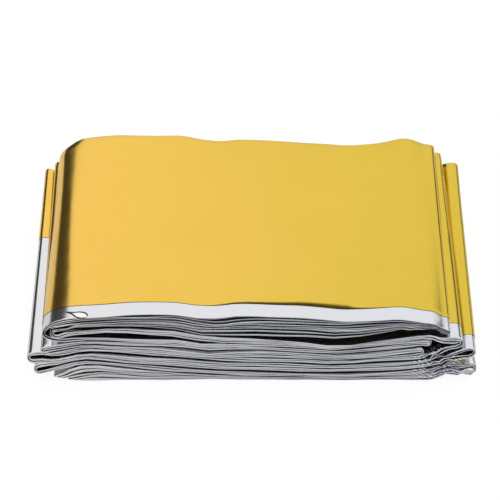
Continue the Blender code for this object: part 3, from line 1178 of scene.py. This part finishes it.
def film_surface_group():
    """The marks of the film, as a group for both of its materials."""
    group = bpy.data.node_groups.new("film_surface", "ShaderNodeTree")
    for in_out, names in (("INPUT", GROUP_INPUTS), ("OUTPUT", GROUP_OUTPUTS)):
        for name in names:
            group.interface.new_socket(name, in_out=in_out, socket_type="NodeSocketFloat")
    given = node(group, "NodeGroupInput").outputs
    in_packet = node(group, "ShaderNodeTexCoord").outputs["Object"]
    on_sheet = node(group, "ShaderNodeUVMap", uv_map="flat_sheet").outputs["UV"]
    streaks = roll_streaks(group, on_sheet, given["Streak Size"])
    span = {"Value": streaks, "To Min": given["Least Rough"], "To Max": given["Most Rough"]}
    roughness = node(group, "ShaderNodeMapRange", span).outputs["Result"]
    crinkles = crinkle_height(group, in_packet, given["Crinkle Size"])
    fine = math_node(group, "MULTIPLY", crinkles, given["Crinkle"])
    bumps = math_node(group, "ADD", fine, crushed_height(group, in_packet))
    # Masks for painted shade in the blister's crease and for a painted highlight inside it.
    rim, blister = blister_masks(group, on_sheet)
    raised = math_node(group, "MULTIPLY", blister, BLISTER_HEIGHT)
    height = math_node(group, "ADD", bumps, raised)
    drifting = colour_drift(group, in_packet)
    results = (drifting, roughness, height, rim, blister)
    node(group, "NodeGroupOutput", dict(zip(GROUP_OUTPUTS, results)))
    return group


film_surface = film_surface_group()
print("nodes in the shared group:", len(film_surface.nodes))

# %% [markdown]
# ## The two sides of the film
#
# The gold side is aluminium seen through a lacquer, so it is a metal whose own colour is the
# lacquer's: warmer at the left of the packet and greener at the right. The silver side is bare
# aluminium, almost neutral. Both are fully metallic, and two more colours are painted over them:
# a painted highlight inside the blister and painted shade in the tight crease round it. The
# silver side gets deeper bumps, because its margin lies loose and is more wrinkled.

# %% Film materials
WARM_GOLD = (0.85, 0.53, 0.105, 1.0)
GREEN_GOLD = (0.66, 0.475, 0.055, 1.0)
WARM_SILVER = (0.71, 0.71, 0.73, 1.0)
COOL_SILVER = (0.67, 0.685, 0.72, 1.0)
# A painted highlight: the inside of the blister, made lighter in the colour.
PAINTED_BLISTER_HIGHLIGHT = (0.86, 0.88, 0.87, 1.0)
# Painted shade: the crease round the blister, darkened in the colour.
PAINTED_CREASE_SHADE = (0.05, 0.055, 0.05, 1.0)
SIZES = {"Crinkle Size": 0.006, "Streak Size": 0.004, "Crinkle": 1.0}
GOLD_MARKS = {**SIZES, "Least Rough": 0.14, "Most Rough": 0.24}
SILVER_MARKS = {**SIZES, "Least Rough": 0.12, "Most Rough": 0.22}
GOLD_BUMP = 0.00002
SILVER_BUMP = 0.00004


def coloured(tree, mask, first, second):
    """The first colour where the mask is 0, and the second where it is 1."""
    inputs = {"Factor": mask, "A": first, "B": second}
    return node(tree, "ShaderNodeMix", inputs, data_type="RGBA").outputs["Result"]


def film_material(name, left_tint, right_tint, marks, bump_depth):
    """One side of the film: its tints, its marks and how deep they are."""
    material = bpy.data.materials.new(name)
    material.use_nodes = True
    tree = material.node_tree
    surface = node(tree, "ShaderNodeGroup", marks, node_tree=film_surface).outputs
    colour = coloured(tree, surface["Drift"], left_tint, right_tint)
    # A painted highlight: the blister's inside is made lighter in the colour.
    colour = coloured(tree, surface["Blister"], colour, PAINTED_BLISTER_HIGHLIGHT)
    # Painted shade: the blister's crease is darkened in the colour.
    colour = coloured(tree, surface["Painted Crease Shade"], colour, PAINTED_CREASE_SHADE)
    inputs = {"Strength": 1.0, "Distance": bump_depth, "Height": surface["Height"]}
    normal = node(tree, "ShaderNodeBump", inputs).outputs["Normal"]
    looks = {"Base Color": colour, "Metallic": 1.0, "Roughness": surface["Roughness"], "Normal": normal}
    feed(tree, tree.nodes["Principled BSDF"].inputs, looks)
    return material


for finish in (
    film_material("gold_side", WARM_GOLD, GREEN_GOLD, GOLD_MARKS, GOLD_BUMP),
    film_material("silver_side", WARM_SILVER, COOL_SILVER, SILVER_MARKS, SILVER_BUMP),
):
    sheet.data.materials.append(finish)
print("materials:", [material.name for material in sheet.data.materials])

# %% [markdown]
# ## The floor
#
# The packet lies on plain white paper. On a light table such paper glows by itself, and it
# stays white up to its edges while a soft shadow still lies under the packet. So the camera
# sees a share of an even glow in it, mirrored rays see less of it, and all other light treats it
# as matt paper.

# %% Floor
FLOOR_REACH = 3000.0
FLOOR_WHITE = 0.86
FLOOR_ROUGH = 0.9
SEEN_WHITE = 0.82
BOUNCED_WHITE = 0.15
GLOW = 1.08


def floor_paper():
    """White paper, which the camera sees as if it were also lit from below."""
    material = bpy.data.materials.new("floor_paper")
    material.use_nodes = True
    tree = material.node_tree
    white = (FLOOR_WHITE, FLOOR_WHITE, FLOOR_WHITE, 1.0)
    paper = tree.nodes["Principled BSDF"]
    feed(tree, paper.inputs, {"Base Color": white, "Roughness": FLOOR_ROUGH, "Specular IOR Level": 0.0})
    glow = node(tree, "ShaderNodeEmission", {"Strength": GLOW})
    ray = node(tree, "ShaderNodeLightPath").outputs
    straight = math_node(tree, "MULTIPLY", ray["Is Camera Ray"], SEEN_WHITE)
    bounced = math_node(tree, "MULTIPLY", ray["Is Glossy Ray"], BOUNCED_WHITE)
    seen = math_node(tree, "MAXIMUM", straight, bounced)
    mixed = node(tree, "ShaderNodeMixShader", {0: seen, 1: paper.outputs[0], 2: glow.outputs[0]})
    feed(tree, tree.nodes["Material Output"].inputs, {"Surface": mixed.outputs[0]})
    return material


def make_floor():
    """A large square of paper under the packet."""
    mesh = bpy.data.meshes.new("floor")
    reach = FLOOR_REACH * TO_METRES
    corners = [(-reach, -reach, 0.0), (reach, -reach, 0.0), (reach, reach, 0.0), (-reach, reach, 0.0)]
    mesh.from_pydata(corners, [], [(0, 1, 2, 3)])
    mesh.materials.append(floor_paper())
    floor = bpy.data.objects.new("floor", mesh)
    bpy.context.scene.collection.objects.link(floor)
    return floor


floor = make_floor()
print("floor:", [round(side, 1) for side in floor.dimensions], "m")

# %% [markdown]
# ## Dark cards
#
# Foil has no look of its own: it shows the room. A studio hangs dark cards round shiny things
# to draw lines on them, and there are three here. The one behind on the left gives the film its
# dark column, a small one behind on the right answers it, and a band in front, halfway up,
# gives the folds their thin dark lines. Real cards would be meshes in the way of other views,
# so the world's shader draws them by direction instead.

# %% Cards
# Where a side card hangs, how near to its middle it starts and is full, as the cosine of the
# angle, and how much light it leaves.
Card = namedtuple("Card", "towards starts full dark")
SIDE_CARDS = (
    Card(Vector((-0.732, 0.669, 0.129)), 0.86, 0.885, 0.06),
    Card(Vector((0.732, 0.669, 0.129)), 0.972, 0.99, 0.15),
)

# The front card's half width, and its edges: an axis, and between which two directions on it
# the card fades out (last value 0) or in (last value 1).
FRONT_HALF_WIDTH = (0.42, 0.56)
FRONT_EDGES = (("Y", -0.64, -0.50, 0.0), ("Z", 0.70, 0.86, 0.0), ("Z", 0.39, 0.45, 1.0))
FRONT_DARK = 0.04


def side_card(tree, direction, card):
    """The share of light that a card at the side leaves in each direction."""
    nearness = vector_node(tree, "DOT_PRODUCT", direction, card.towards.normalized())
    return smooth_range(tree, nearness, card.starts, card.full, 1.0, card.dark)


def front_card(tree, split):
    """The share of light that the card in front leaves in each direction."""
    aside = math_node(tree, "ABSOLUTE", split["X"])
    clear = smooth_range(tree, aside, *FRONT_HALF_WIDTH)
    for axis, low, high, first in FRONT_EDGES:
        past = smooth_range(tree, split[axis], low, high, first, 1.0 - first)
        clear = math_node(tree, "MAXIMUM", clear, past)
    return smooth_range(tree, clear, 0.0, 1.0, FRONT_DARK, 1.0)


print("side cards:", len(SIDE_CARDS), "and edges of the front card:", len(FRONT_EDGES))

# %% [markdown]
# ## The room
#
# The light is the room itself, a world that is bright overhead and a little dimmer at the
# horizon, and no lamps are needed. Light from everywhere leaves only soft shadows. The cards'
# shares are multiplied into its strength.

# %% Light
OVERHEAD = 1.1
HORIZON = 0.8
ROOM_BRIGHTENS = (0.0, 0.6)


def make_world():
    """A bright room with two cards behind, left and right, and one in front."""
    world = bpy.data.worlds.new("studio")
    bpy.context.scene.world = world
    world.use_nodes = True
    tree = world.node_tree
    direction = node(tree, "ShaderNodeTexCoord").outputs["Generated"]
    split = node(tree, "ShaderNodeSeparateXYZ", {"Vector": direction}).outputs
    room = smooth_range(tree, split["Z"], *ROOM_BRIGHTENS, HORIZON, OVERHEAD)
    sides = math_node(tree, "MULTIPLY", *(side_card(tree, direction, card) for card in SIDE_CARDS))
    light = math_node(tree, "MULTIPLY", room, sides)
    light = math_node(tree, "MULTIPLY", light, front_card(tree, split))
    feed(tree, tree.nodes["Background"].inputs, {"Color": (1.0, 1.0, 1.0, 1.0), "Strength": light})
    return world


world = make_world()
print("nodes of the room:", len(world.node_tree.nodes))

# %% [markdown]
# ## The camera
#
# Whoever shows a product in a catalogue stands well back with a long lens, so that the packet's
# far edge is hardly smaller than its near one. Elevation, distance and focal length decide such
# a view, and they are easier to read than a camera matrix. The plain view transform keeps white
# paper white.

# %% Camera
ELEVATION = math.radians(48.0)
DISTANCE = 805.65
FOCAL_LENGTH = 167.45
SENSOR_WIDTH = 36.0
LOOKED_AT = Vector((0.0, 3.79, 12.0))


def make_camera(target):
    """A camera in front of the packet, tilted down onto it."""
    away = Vector((0.0, -math.cos(ELEVATION), math.sin(ELEVATION)))
    data = bpy.data.cameras.new("camera")
    data.lens = FOCAL_LENGTH
    data.sensor_width = SENSOR_WIDTH
    camera = bpy.data.objects.new("camera", data)
    camera.location = (target + away * DISTANCE) * TO_METRES
    camera.rotation_euler = (math.pi / 2 - ELEVATION, 0.0, 0.0)
    bpy.context.scene.collection.objects.link(camera)
    bpy.context.scene.camera = camera
    return camera


camera = make_camera(LOOKED_AT - Vector(RECENTRE))
bpy.context.scene.view_settings.view_transform = "Standard"
bpy.context.scene.view_settings.look = "None"
print("camera at:", [round(value, 3) for value in camera.location])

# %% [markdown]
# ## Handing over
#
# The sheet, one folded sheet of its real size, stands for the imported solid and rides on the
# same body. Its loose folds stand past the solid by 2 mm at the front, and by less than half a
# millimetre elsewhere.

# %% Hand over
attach(sheet, "root")
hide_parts("foil_blanket")
